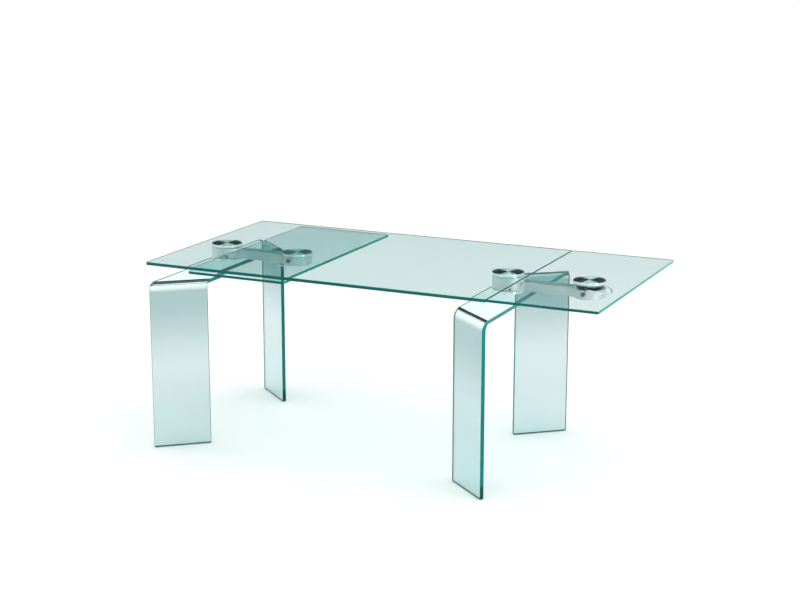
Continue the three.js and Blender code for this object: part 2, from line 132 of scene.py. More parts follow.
class Recipe:
    """A material's or the world's node tree, empty but for its output node."""

    def __init__(self, owner, output):
        owner.use_nodes = True
        self.tree = owner.node_tree
        self.tree.nodes.clear()
        self.output = self.tree.nodes.new(output)

    def add(self, kind, settings=None, sockets=None, output=0):
        """Adds a node: settings are its properties, and sockets are numbers, colours or Values."""
        node = self.tree.nodes.new(kind)
        for name, setting in (settings or {}).items():
            setattr(node, name, setting)
        for name, value in (sockets or {}).items():
            self.join(node.inputs[name], value)
        return Value(self, node.outputs[output])

    def join(self, socket, value):
        if isinstance(value, Value):
            self.tree.links.new(value.socket, socket)
        elif socket.type == "RGBA" and len(value) == 3:
            socket.default_value = (*value, 1)
        else:
            socket.default_value = value

    def finish(self, surface, volume=None):
        self.join(self.output.inputs["Surface"], surface)
        if volume:
            self.join(self.output.inputs["Volume"], volume)

    def place(self, scale=(1, 1, 1), centre=(0, 0, 0)):
        """The point's own coordinates, stretched by scale, from centre."""
        point = self.add("ShaderNodeTexCoord", output="Object")
        offset = tuple(-c * s for c, s in zip(centre, scale))
        return self.add("ShaderNodeMapping", None, {"Vector": point, "Location": offset, "Scale": scale})

    def noise(self, scale, detail=2, stretch=(1, 1, 1)):
        """A cloudy pattern of about 0 to 1, with scale features to the metre."""
        return self.add("ShaderNodeTexNoise", None,
                        {"Vector": self.place(stretch), "Scale": scale, "Detail": detail})

    def blend(self, factor, first, second):
        """A colour between first, where factor is 0, and second, where it is 1."""
        return self.add("ShaderNodeMix", {"data_type": "RGBA"}, {0: factor, 6: first, 7: second}, output=2)

    def bump(self, height, depth):
        """A normal that follows height, where 1 stands for depth in metres."""
        return self.add("ShaderNodeBump", None, {"Height": height, "Distance": depth})

    def vector(self, operation, *inputs, output=0):
        return self.add("ShaderNodeVectorMath", {"operation": operation}, dict(enumerate(inputs)), output)

    def scaled(self, vector, factor):
        return self.add("ShaderNodeVectorMath", {"operation": "SCALE"}, {0: vector, "Scale": factor})

    def axis(self, name, vector):
        """One coordinate of a vector: X, Y or Z."""
        return self.add("ShaderNodeSeparateXYZ", None, {0: vector}, name)


def material(name):
    return bpy.data.materials.new(name)


# %% [markdown]
# ## Studio
# Clear glass is drawn by what stands around it. The world is bright overhead and soft white at the front
# and right, with a dark wall behind the table that reaches about 45 degrees up. The sheets mirror that
# wall, and the turned discs get their dark and light lobes from it. The camera itself sees plain white
# behind everything. The floor is a large pale sheet.

# %% World
WORLD_TOP = 1.7
WORLD_FRONT = 1.55
WORLD_RIGHT = 1.8
WORLD_DARK = 0.04
OVERHEAD = (0.45, 0.75)
WALL_TOP = (0.72, 0.66)
WALL_SIDE = (0.55, 0.4)
WALL_NEAR = (0.1, 0.3)
FORWARD = (-math.sin(AZIMUTH), math.cos(AZIMUTH), 0)
RIGHTWARD = (math.cos(AZIMUTH), math.sin(AZIMUTH), 0)


def make_world():
    world = bpy.data.worlds.new("studio")
    bpy.context.scene.world = world
    sky = Recipe(world, "ShaderNodeOutputWorld")
    direction = sky.add("ShaderNodeTexCoord", output="Generated")
    height = sky.axis("Z", direction)
    ahead = sky.vector("DOT_PRODUCT", direction, FORWARD, output="Value")
    right = sky.vector("DOT_PRODUCT", direction, RIGHTWARD, output="Value")
    overhead = height.step(*OVERHEAD)
    level = WORLD_FRONT + (WORLD_RIGHT - WORLD_FRONT) * right.step(0.3, 0.85)
    level = level + (WORLD_TOP - level) * overhead
    dark = ahead.step(*WALL_NEAR) * right.math("ABSOLUTE").step(*WALL_SIDE) * height.step(*WALL_TOP)
    level = level + (WORLD_DARK - level) * dark
    seen = sky.add("ShaderNodeLightPath", output="Is Camera Ray")
    level = level + (1 - level) * seen
    sky.finish(sky.add("ShaderNodeBackground", None, {"Color": (1, 1, 1), "Strength": level}))


make_world()

# %% Floor and lamps
FLOOR_SIZE = 60
FLOOR_TONE = 0.67


def make_floor():
    bpy.ops.object.select_all(action="DESELECT")
    bpy.ops.mesh.primitive_plane_add(size=FLOOR_SIZE, location=(0, 0, 0))
    floor = bpy.context.object
    floor.name = "floor"
    paper = Recipe(material("floor_paper"), "ShaderNodeOutputMaterial")
    paper.finish(paper.add("ShaderNodeBsdfDiffuse", None, {"Color": (FLOOR_TONE, FLOOR_TONE, FLOOR_TONE)}))
    floor.data.materials.append(bpy.data.materials["floor_paper"])


def make_lamp(name, place, aim, size, power):
    lamp = bpy.data.objects.new(name, bpy.data.lights.new(name, "AREA"))
    lamp.data.shape = "RECTANGLE"
    lamp.data.size, lamp.data.size_y = size
    lamp.data.energy = power
    lamp.location = place
    lamp.rotation_euler = (Vector(aim) - Vector(place)).to_track_quat("-Z", "Y").to_euler()
    bpy.context.collection.objects.link(lamp)


make_floor()
make_lamp("top_softbox", (0.3, 0.4, 4.2), (0, 0, 0.7), (5, 3.5), 30)
make_lamp("right_strip", (3.6, -1.2, 1.5), (0.4, 0, 0.7), (0.7, 2.4), 30)

scene = bpy.context.scene
scene.view_settings.view_transform = "Standard"
scene.view_settings.look = "None"
scene.cycles.max_bounces = 20
scene.cycles.transmission_bounces = 20
scene.cycles.glossy_bounces = 6
scene.cycles.diffuse_bounces = 3
print("studio: world, floor and two lamps")

# %% [markdown]
# ## Glass
# Float glass is nearly colourless through a face and deep teal through an edge, because its iron tints the
# long path. A volume that absorbs red gives the faces their pale tint. Light reaches the polished edges
# through half a metre of glass, so they get a teal finish of their own, and so does the small ground corner
# between edge and face, the arris. A face's roughness has faint wipe marks, and lamps shine straight
# through a face, so what lies under a sheet is lit.


# %% Glass finishes
WIPE_ROUGHNESS = 0.003
LAMP_TINT = (0.9, 0.97, 0.96)
# Painted shade for the legs: the leg glass's colour at the floor, halfway up and just under the bend.
LEG_PAINTED_SHADE_AT_FLOOR = (0.72, 0.79, 0.795)
LEG_PAINTED_SHADE_HALFWAY = (0.73, 0.76, 0.77)
LEG_PAINTED_SHADE_UNDER_BEND = (0.42, 0.53, 0.535)
# Painted shade at the foot of the base glass's edges.
FOOT_SHADE = (0.0, 0.055, 0.048)


def glass_face(name, absorbed, density, calm, leg=None):
    """Clear glass. calm is the share of it that only bends light and mirrors none. leg is the height at which
    a leg ends: the leg carries painted shade, darkest just below its bend, that stands for the shade under
    the table mirrored in the pane, and calm then holds only on level faces."""
    recipe = Recipe(material(name), "ShaderNodeOutputMaterial")
    smear = recipe.noise(4, 3, (1, 2.2, 1)).step(0.5, 0.8)
    colour = recipe.blend(smear, (1, 1, 1), (0.97, 0.98, 0.98))
    if leg:
        height = recipe.axis("Z", recipe.place())
        # Painted shade: the leg darkens and greys by height, most of all just below its bend.
        painted_shade = recipe.blend(height.step(0, 0.5 * leg), LEG_PAINTED_SHADE_AT_FLOOR, LEG_PAINTED_SHADE_HALFWAY)
        painted_shade = recipe.blend(height.step(0.5 * leg, 0.97 * leg), painted_shade, LEG_PAINTED_SHADE_UNDER_BEND)
        colour = recipe.blend(height.step(leg + 0.035, leg + 0.01), colour, painted_shade)
        facing = recipe.add("ShaderNodeTexCoord", output="Normal")
        level = recipe.axis("Z", facing).math("ABSOLUTE")
        calm = calm * level.step(0.98, 0.998)
    mirroring = recipe.add("ShaderNodeBsdfPrincipled", None, {
        "Base Color": colour, "Transmission Weight": 1.0, "IOR": 1.5, "Roughness": WIPE_ROUGHNESS * smear,
    })
    bending = recipe.add("ShaderNodeBsdfRefraction", None, {"Color": (1, 1, 1), "IOR": 1.5, "Roughness": 0.0})
    surface = recipe.add("ShaderNodeMixShader", None, {0: calm, 1: mirroring, 2: bending})
    from_lamp = recipe.add("ShaderNodeLightPath", output="Is Shadow Ray")
    clear = recipe.add("ShaderNodeBsdfTransparent", None, {"Color": LAMP_TINT})
    surface = recipe.add("ShaderNodeMixShader", None, {0: from_lamp, 1: surface, 2: clear})
    absorbing = recipe.add("ShaderNodeVolumeAbsorption", None, {"Color": absorbed, "Density": density})
    recipe.finish(surface, absorbing)
    return bpy.data.materials[name]


def glass_edge(name, end, front, foot=None):
    """Polished edge glass: end is its colour where it faces along the table, front where it faces across.
    Where they differ, that is painted light: the ends are painted lighter, as if lit by the lamp at the side.
    Below the height foot it turns dark: painted shade that stands for the dark foot mirrored in it."""
    recipe = Recipe(material(name), "ShaderNodeOutputMaterial")
    along = recipe.noise(2.2, 1)
    bands = recipe.noise(160, 1, (0.02, 0.02, 1))
    facing = recipe.add("ShaderNodeTexCoord", output="Normal")
    # Painted light: faces that point along the table take the lighter end colour, as if lit from the side.
    painted_light_on_ends = recipe.axis("X", facing).math("ABSOLUTE")
    colour = recipe.blend(painted_light_on_ends.step(0.2, 0.8), front, end)
    deep = recipe.scaled(colour, 0.7)
    colour = recipe.blend((0.65 * along + 0.35 * bands).step(0.3, 0.75), colour, deep)
    if foot:
        height = recipe.axis("Z", recipe.place())
        # Painted shade: below foot the edge turns dark, standing for the dark foot mirrored in it.
        colour = recipe.blend(height.step(foot + 2 * MM, foot - 2 * MM), colour, FOOT_SHADE)
    recipe.finish(recipe.add("ShaderNodeBsdfPrincipled", None, {
        "Base Color": colour, "Roughness": 0.1 + 0.12 * along, "Specular IOR Level": 0.12,
    }))
    return bpy.data.materials[name]


def glass_arris(name, colour):
    """The small ground corner between an edge and a face."""
    recipe = Recipe(material(name), "ShaderNodeOutputMaterial")
    grain = recipe.noise(900, 2)
    recipe.finish(recipe.add("ShaderNodeBsdfPrincipled", None, {
        "Base Color": recipe.blend(grain, colour, tuple(0.75 * c for c in colour)),
        "Roughness": 0.2 + 0.2 * grain, "Coat Weight": 0.5, "Coat Roughness": 0.1,
    }))
    return bpy.data.materials[name]


TOP_TINT = (0.20, 0.82, 0.79)
BASE_TINT = (0.30, 0.95, 0.93)
LEG_TOP = 0.61
# The top's edges are painted lighter on the ends than on the front and back: painted light.
TOP_GLASS = [
    glass_face("top_glass_face", TOP_TINT, 22, 0.55),
    glass_edge("top_glass_edge", (0.0, 0.29, 0.26), (0.0, 0.10, 0.088)),
    glass_arris("top_glass_arris", (0.0, 0.12, 0.108)),
    glass_edge("top_glass_shaded_edge", (0.0, 0.012, 0.012), (0.0, 0.012, 0.012)),
]
BASE_GLASS = [
    glass_face("base_glass_face", BASE_TINT, 12, 0.92, leg=LEG_TOP),
    glass_edge("base_glass_edge", (0.0, 0.18, 0.17), (0.0, 0.18, 0.17), foot=0.05),
    glass_arris("base_glass_arris", (0.0, 0.12, 0.115)),
]

# %% [markdown]
# ## Working by hand, in code
# The operators act on what is selected, so nothing is selected before a primitive is added. In edit mode,
# pick selects faces, edges or points by a test. close_up joins doubled points and turns the faces outwards,
# and settle gives the piece its finish and hands it to the body that it moves with.


# %% Modelling helpers
def pick(kind, test):
    """In edit mode, selects only what passes the test. kind is VERT, EDGE or FACE."""
    bpy.ops.mesh.select_mode(type=kind)
    bpy.ops.mesh.select_all(action="DESELECT")
    mesh = bmesh.from_edit_mesh(bpy.context.edit_object.data)
    for part in {"VERT": mesh.verts, "EDGE": mesh.edges, "FACE": mesh.faces}[kind]:
        if test(part):
            part.select_set(True)
    bmesh.update_edit_mesh(bpy.context.edit_object.data)


def begin(name, shape="cube", **place):
    """Adds a primitive with nothing else selected, and opens it in edit mode."""
    bpy.ops.object.select_all(action="DESELECT")
    getattr(bpy.ops.mesh, f"primitive_{shape}_add")(**place)
    piece = bpy.context.object
    piece.name = name
    bpy.ops.object.transform_apply(location=True, rotation=True, scale=True)
    bpy.ops.object.mode_set(mode="EDIT")
    bpy.ops.mesh.select_mode(type="VERT")
    return piece


def close_up():
    """In edit mode, joins doubled points and turns every face outwards, then leaves edit mode."""
    bpy.ops.mesh.select_all(action="SELECT")
    bpy.ops.mesh.remove_doubles(threshold=1e-6)
    bpy.ops.mesh.normals_make_consistent(inside=False)
    bpy.ops.object.mode_set(mode="OBJECT")


def only(piece):
    bpy.ops.object.select_all(action="DESELECT")
    piece.select_set(True)
    bpy.context.view_layer.objects.active = piece


def modify(piece, kind, **settings):
    """Adds a modifier, sets it and applies it."""
    only(piece)
    bpy.ops.object.modifier_add(type=kind)
    modifier = piece.modifiers[-1]
    for name, setting in settings.items():
        setattr(modifier, name, setting)
    bpy.ops.object.modifier_apply(modifier=modifier.name)


def soften(piece, width, segments=2, sharp=35, smooth=20, **settings):
    """Rounds the edges that turn by more than sharp degrees, and shades smoothly over those that turn by less
    than smooth."""
    modify(piece, "BEVEL", width=width, segments=segments, limit_method="ANGLE",
           angle_limit=math.radians(sharp), **settings)
    only(piece)
    bpy.ops.object.shade_smooth_by_angle(angle=math.radians(smooth))


def settle(piece, node, finishes):
    """The piece stands for the CAD node, moves with its body and takes its finishes."""
    if not piece.data.materials:
        for finish in finishes:
            piece.data.materials.append(finish)
    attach(piece, body_of[node])
    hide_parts(node)
    print(piece.name, len(piece.data.polygons), "faces")


def middle(node):
    low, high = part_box(node)
    return (low + high) / 2


# %% [markdown]
# ## Glass sheets
# The top and the leaves are flat sheets with ground edges. Each starts as a cube of the sheet's own size.
# The upright corners are rounded first. Then the edge faces get the edge finish, and a one-step bevel cuts
# the arris, whose faces take the third finish. The two edges that face each other across the gap at the
# right leaf get no light, so they are nearly black.

# %% Glass sheets
CORNER = 3 * MM
CORNER_STEPS = 4
ARRIS = 0.7 * MM
GAP_REACH = 5 * MM


def glass_sheet(node):
    low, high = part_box(node)
    sheet = begin(f"{node}_sheet", size=1, location=(low + high) / 2, scale=high - low)
    pick("EDGE", lambda edge: abs(edge.verts[0].co.z - edge.verts[1].co.z) > MM)
    bpy.ops.mesh.bevel(offset=CORNER, segments=CORNER_STEPS)
    close_up()
    for finish in TOP_GLASS:
        sheet.data.materials.append(finish)
    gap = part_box("main_top")[1].x
    for face in sheet.data.polygons:
        face.material_index = 0 if abs(face.normal.z) > 0.5 else 1
        if abs(face.normal.x) > 0.9 and abs(face.center.x - gap) < GAP_REACH:
            face.material_index = 3
    soften(sheet, ARRIS, segments=1, sharp=60, material=2)
    settle(sheet, node, TOP_GLASS)


for node in ("main_top", "left_leaf", "right_leaf"):
    glass_sheet(node)

# %% [markdown]
# ## Bent bases
# Each base is one sheet that bends down at both ends into leg panes, which stand askew under the table's
# corners. By hand: the foot of a pane is a flat strip at the pane's own angle, extruded up for the leg, and
# spun a quarter turn for the bend. Its last side is pulled out to the middle of the table, and a mirror
# makes the other half. The side edges have to turn from the askew leg to the straight plate, so each line
# across the bend slides along itself. The foot strips give the panes' places.

# %% Bent bases
PANE_ANGLE = math.radians(40)
PANE_WIDTH = 223 * MM
THICKNESS = 15 * MM
BEND = 34 * MM
BEND_STEPS = 28
EDGE_TURN = 19.8 * MM
EDGE_BLEND = 10 * MM


def edge_slide(s):
    """How far a cross line has slid at a length s along the middle of the bend."""
    start, end = EDGE_TURN - EDGE_BLEND, EDGE_TURN + EDGE_BLEND
    if s <= start:
        return 0
    along = (s - start) ** 2 / (2 * (end - start)) if s < end else s - EDGE_TURN
    return -math.tan(PANE_ANGLE) * along


def bent_base(side):
    node = f"{side}_base_glass"
    sign = 1 if side == "right" else -1
    low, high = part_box(node)
    foot = middle(f"{side}_front_foot_pad")
    foot.z = low.z
    along = Vector((sign * math.cos(PANE_ANGLE), -math.sin(PANE_ANGLE), 0))
    inwards = Vector((sign * math.sin(PANE_ANGLE), math.cos(PANE_ANGLE), 0))
    axis_point = foot + inwards * (BEND - THICKNESS / 2)
    axis_point.z = high.z - BEND

    base = begin(f"{side}_bent_base", "plane", size=1)
    mesh = bmesh.from_edit_mesh(base.data)
    for point in mesh.verts:
        point.co = foot + along * point.co.x * PANE_WIDTH + inwards * point.co.y * THICKNESS
    bmesh.update_edit_mesh(base.data)
    bpy.ops.mesh.select_all(action="SELECT")
    bpy.ops.mesh.extrude_region_move(TRANSFORM_OT_translate={"value": (0, 0, axis_point.z - low.z)})
    bpy.ops.mesh.spin(steps=BEND_STEPS, angle=math.pi / 2, center=axis_point, axis=sign * along)
    mesh = bmesh.from_edit_mesh(base.data)
    for point in mesh.verts:
        across = (point.co - axis_point).dot(inwards)
        if point.co.z > axis_point.z - 1e-6:
            turn = math.atan2(point.co.z - axis_point.z, -across)
            point.co += along * edge_slide((BEND - THICKNESS / 2) * turn)
    bmesh.update_edit_mesh(base.data)
    bpy.ops.mesh.extrude_region_move()
    bpy.ops.transform.resize(value=(1, 0, 1), center_override=(0, 0, 0))
    bpy.ops.mesh.delete(type="ONLY_FACE")
    close_up()
    modify(base, "MIRROR", use_axis=(False, True, False), merge_threshold=1e-5)
    bpy.ops.object.mode_set(mode="EDIT")
    close_up()
    for finish in BASE_GLASS:
        base.data.materials.append(finish)
    points = base.data.vertices
    for face in base.data.polygons:
        lengths = [(points[a].co - points[b].co).length for a, b in face.edge_keys]
        face.material_index = 1 if any(abs(length - THICKNESS) < MM for length in lengths) else 0
    soften(base, ARRIS, segments=1, sharp=60, material=2)
    settle(base, node, BASE_GLASS)


for side in SIDES:
    bent_base(side)

# %% [markdown]
# ## Metal
# The discs are steel turned on a lathe, whose fine grooves run in circles. A groove's side leans outwards
# or inwards, so each spot of a disc mirrors the studio along a line through its centre, and the disc shows
# two dark and two light lobes. Here the normal leans by a wave that is finer than can be seen. On a rim the
# grooves lean up and down. The castings are blasted aluminium: pale, soft and finely grained.


# %% Metal finishes
GROOVE = 0.9 * MM


def turned_steel(name, centre, tone=0.95, lean=0.38, rough=0.04):
    """Steel turned round the upright axis through centre. lean is how far its grooves tilt the normal."""
    recipe = Recipe(material(name), "ShaderNodeOutputMaterial")
    point = recipe.place(centre=(centre.x, centre.y, 0))
    flat = recipe.vector("MULTIPLY", point, (1, 1, 0))
    radius = recipe.vector("LENGTH", flat, output="Value")
    outwards = recipe.vector("NORMALIZE", flat)
    height = recipe.axis("Z", point)
    sideways = ((radius * (math.tau / GROOVE)).math("COSINE").step(-0.3, 0.3) * 2 - 1) * lean
    normal = recipe.add("ShaderNodeTexCoord", output="Normal")
    level = recipe.axis("Z", normal).math("ABSOLUTE")
    upwards = (height * (math.tau / GROOVE)).math("COSINE") * lean * (1 - level)
    side_lean = recipe.scaled(outwards, sideways)
    up_lean = recipe.add("ShaderNodeCombineXYZ", None, {"Z": upwards})
    for part in (side_lean, up_lean):
        normal = recipe.vector("ADD", normal, part)
    normal = recipe.add("ShaderNodeVectorTransform", {
        "vector_type": "NORMAL", "convert_from": "OBJECT", "convert_to": "WORLD"}, {0: normal})
    marks = recipe.noise(60, 3)
    recipe.finish(recipe.add("ShaderNodeBsdfPrincipled", None, {
        "Base Color": recipe.blend(marks, (tone, tone, tone), (0.86 * tone, 0.88 * tone, 0.88 * tone)),
        "Metallic": 1.0, "Roughness": rough + 0.08 * marks, "Normal": normal,
    }))
    return bpy.data.materials[name]


def plain_metal(name, colour, rough, grain, depth, metallic=1.0, gloss=0.5):
    """A metal or plastic whose tone and roughness drift a little, with a fine grain of that size and depth.
    gloss is how strongly its plain, unmetallic part mirrors."""
    recipe = Recipe(material(name), "ShaderNodeOutputMaterial")
    drift = recipe.noise(14, 3)
    fine = recipe.noise(1 / grain, 2)
    recipe.finish(recipe.add("ShaderNodeBsdfPrincipled", None, {
        "Base Color": recipe.blend(0.5 * drift + 0.4 * fine, colour, tuple(0.8 * c for c in colour)),
        "Metallic": metallic, "Roughness": rough + 0.1 * drift, "Normal": recipe.bump(fine, depth),
        "Specular IOR Level": gloss,
    }))
    return bpy.data.materials[name]


CAST = plain_metal("cast_aluminium", (0.93, 0.94, 0.94), 0.5, 0.8 * MM, 0.03 * MM, metallic=0.12, gloss=0.08)
BRIGHT = plain_metal("bright_steel", (0.74, 0.76, 0.77), 0.06, 3 * MM, 0.004 * MM)
KNOB_STEEL = plain_metal("knob_steel", (0.16, 0.17, 0.17), 0.22, 0.9 * MM, 0.01 * MM)
BRONZE = plain_metal("bronze", (0.45, 0.28, 0.12), 0.35, 0.6 * MM, 0.02 * MM)
NYLON = plain_metal("nylon", (0.05, 0.055, 0.055), 0.5, 0.5 * MM, 0.01 * MM, metallic=0.0)
SCREW = plain_metal("dark_screw", (0.02, 0.023, 0.023), 0.35, 0.4 * MM, 0.01 * MM)
STRIP = plain_metal("foot_strip", (0.03, 0.06, 0.055), 0.6, 0.7 * MM, 0.02 * MM, metallic=0.0)

# %% [markdown]
# ## Foot strips
# A thin dark strip sits under each pane. Its box gives its length and thickness, because its angle is
# known: a strip turned by an angle spans length * cosine + thickness * sine one way, and the reverse the
# other way.


# %% Foot strips
def foot_strip(node, turn):
    low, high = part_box(node)
    span = high - low
    cosine, sine = math.cos(PANE_ANGLE), math.sin(PANE_ANGLE)
    spread = cosine ** 2 - sine ** 2
    length = (span.x * cosine - span.y * sine) / spread
    depth = (span.y * cosine - span.x * sine) / spread
    strip = begin(f"{node}_strip", size=1, scale=(length, depth, span.z))
    bpy.ops.object.mode_set(mode="OBJECT")
    strip.data.transform(Matrix.Translation((low + high) / 2) @ Matrix.Rotation(turn, 4, "Z"))
    soften(strip, 0.5 * MM)
    settle(strip, node, [STRIP])


for side in SIDES:
    for end in ("front", "back"):
        same = (side == "right") == (end == "front")
        foot_strip(f"{side}_{end}_foot_pad", -PANE_ANGLE if same else PANE_ANGLE)

# %% [markdown]
# ## Turned parts
# Most of the mechanism is round. Each round part starts as a single point, which is extruded along half of
# the part's section, and the section is spun round the upright axis. Only then is it moved into place.


# %% Turning
def polyline(name, points):
    """A chain of edges through points, extruded one from another, left open in edit mode."""
    piece = begin(name, "plane", size=MM)
    bpy.ops.mesh.merge(type="CENTER")
    bpy.ops.transform.translate(value=points[0])
    for before, after in zip(points, points[1:]):
        step = Vector(after) - Vector(before)
        bpy.ops.mesh.extrude_vertices_move(TRANSFORM_OT_translate={"value": step})
    bpy.ops.mesh.select_all(action="SELECT")
    return piece


def turned(name, section, steps=96, place=None):
    """Spins (radius, height) points round the Z axis. The section is closed, or ends on the axis twice."""
    piece = polyline(name, [(radius, 0, height) for radius, height in section])
    bpy.ops.mesh.spin(steps=steps, angle=math.tau, center=(0, 0, 0), axis=(0, 0, 1))
    close_up()
    if place:
        piece.data.transform(place)
    return piece


def rod_section(radius, low, high):
    return [(0, low), (radius, low), (radius, high), (0, high)]


def ring_section(inner, outer, low, high):
    return [(inner, low), (outer, low), (outer, high), (inner, high), (inner, low)]


def cut_away(piece, tool, operation="DIFFERENCE"):
    """Cuts the tool out of the piece, or joins or keeps what they share, and deletes the tool."""
    modify(piece, "BOOLEAN", object=tool, operation=operation, solver="EXACT")
    bpy.data.objects.remove(tool)


def upright(x, y=0.0):
    return Matrix.Translation((x, y, 0))


def width(node):
    low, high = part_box(node)
    return high.x - low.x


# %% [markdown]
# ## Column and discs
# A flange on the base glass carries the steel column. The arm turns round it between two washers, and a
# disc on its head is bonded under the top. The leaf has a disc too, with a tapered piston screwed below it
# that seats in the arm's boss. Two slots in the piston's skirt let the lever's shaft pass when the leaf is
# down.

# %% Columns, discs and pistons
SHAFT_RADIUS = width("right_column_shaft") / 2
FREE = 0.3 * MM
SCREW_HOLE = 2.3 * MM
PISTON_FOOT_RADIUS = 48 * MM
PISTON_CAVITY = 42 * MM
PISTON_ROOF = 3 * MM
SLOT_WIDTH = 16 * MM
SLOT_LENGTH = 140 * MM
DISC_EDGE = 0.9 * MM


def levels(node):
    low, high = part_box(node)
    return low.z, high.z


def round_part(node, section, finish, place, edge=0.5 * MM):
    part = turned(f"{node}_turned", section, place=place)
    soften(part, edge)
    settle(part, node, [finish])


def column_parts(side, place, steel):
    bore = SHAFT_RADIUS + FREE
    rings = (("base_flange", steel, "turned_steel"), ("lower_thrust_washer", NYLON, "nylon"),
             ("upper_thrust_washer", NYLON, "nylon"))
    for name, finish, slot in rings:
        node = f"{side}_{name}"
        round_part(node, ring_section(bore, width(node) / 2, *levels(node)), finish, place, 0.4 * MM)
    low, high = levels(f"{side}_column_shaft")
    round_part(f"{side}_column_shaft", rod_section(SHAFT_RADIUS, low, high), BRIGHT, place)
    roof = high + FREE
    low, high = levels(f"{side}_column_disc")
    rim = width(f"{side}_column_disc") / 2
    disc = [(0, roof), (bore, roof), (bore, low), (rim, low), (rim, high), (0, high)]
    round_part(f"{side}_column_disc", disc, steel, place, DISC_EDGE)


def leaf_parts(side, place, steel, mirror_steel):
    node = f"{side}_leaf_disc"
    disc = rod_section(width(node) / 2, *levels(node))
    round_part(node, disc, steel, place, DISC_EDGE)
    node = f"{side}_lift_piston"
    low, high = levels(node)
    roof = high - PISTON_ROOF
    cup = [(0, roof), (PISTON_CAVITY, roof), (PISTON_CAVITY, low), (PISTON_FOOT_RADIUS, low),
           (width(node) / 2, high), (0, high)]
    piston = turned(f"{node}_turned", cup, place=place)
    slot = begin("slot", size=1, location=(0, 0, (low + roof) / 2 - MM),
                 scale=(SLOT_WIDTH, SLOT_LENGTH, roof - low + MM))
    bpy.ops.object.mode_set(mode="OBJECT")
    slot.data.transform(place)
    cut_away(piston, slot)
    soften(piston, 0.6 * MM)
    settle(piston, node, [mirror_steel])


for side in SIDES:
    column = middle(f"{side}_column_disc")
    boss = middle(f"{side}_leaf_disc")
    column_parts(side, upright(column.x), turned_steel(f"{side}_column_steel", column))
    leaf_parts(side, upright(boss.x), turned_steel(f"{side}_leaf_steel", boss),
               turned_steel(f"{side}_piston_steel", boss, tone=0.4, lean=0.1, rough=0.05))

# %% [markdown]
# ## Swing arms
# An arm is one casting: a tall hub on the column, a flat beam, and a boss that carries the leaf. Its plan
# is drawn with arcs: two round ends and four hollow flares. A hollow fillet turned round the hub is kept
# only where it lies over that plan, and makes the saddle between the beam and the taller hub. Bores and the
# boss's tapered seat are cut with turned tools, and a small bevel rounds every edge, as blasting does.

# %% Swing arms
HEAD = 60 * MM
FLARE = 60 * MM
BEAM_HALF = 24 * MM
HUB_BORE = 24 * MM
SEAT_FLOOR = 15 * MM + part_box("right_arm")[0].z + MM
BEAM_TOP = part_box("right_arm")[0].z + 34 * MM
COVER_DEPTH = 2 * MM
SEAT_RADIUS = 48.5 * MM
SEAT_RIM = 58 * MM
SEAT_BORE = 38 * MM
CROSS_BORE = 7.8 * MM
COVER_RADIUS = width("right_boss_cover") / 2
PRESSURE_BORE = 4.3 * MM
PRESSURE_ANGLE = math.radians(-62)
END_STEPS = 56
FLARE_STEPS = 14
FINE_STEPS = 128


def arc(x, y, radius, start, end, steps):
    """Points on an arc, from the angle start to the angle end."""
    angles = [start + (end - start) * step / steps for step in range(steps + 1)]
    return [(x + radius * math.cos(angle), y + radius * math.sin(angle)) for angle in angles]


def arm_plan(reach):
    """The arm seen from above, from the hub at the origin to the boss at x = reach."""
    span, side_y = HEAD + FLARE, BEAM_HALF + FLARE
    side_x = math.sqrt(span ** 2 - side_y ** 2)
    touch = math.atan2(side_y, side_x)
    quarter = math.pi / 2
    return (arc(0, 0, HEAD, touch, math.tau - touch, END_STEPS)
            + arc(side_x, -side_y, FLARE, math.pi - touch, quarter, FLARE_STEPS)[1:]
            + arc(reach - side_x, -side_y, FLARE, quarter, touch, FLARE_STEPS)
            + arc(reach, 0, HEAD, touch - math.pi, math.pi - touch, END_STEPS)[1:]
            + arc(reach - side_x, side_y, FLARE, -touch, -quarter, FLARE_STEPS)[1:]
            + arc(side_x, side_y, FLARE, -quarter, touch - math.pi, FLARE_STEPS)[:-1])


def slab(name, plan, low, high):
    piece = polyline(name, [(x, y, low) for x, y in plan])
    bpy.ops.mesh.edge_face_add()
    bpy.ops.mesh.extrude_region_move(TRANSFORM_OT_translate={"value": (0, 0, high - low)})
    close_up()
    return piece


def pressure_turn(side, column):
    """Turns the Z axis to lie along the pressure screw, which points out of the hub."""
    height = middle(f"{side}_pressure_screw").z
    lean = Matrix.Rotation(PRESSURE_ANGLE, 4, "Z") @ Matrix.Rotation(math.pi / 2, 4, "Y")
    return Matrix.Translation((column.x, column.y, height)) @ lean


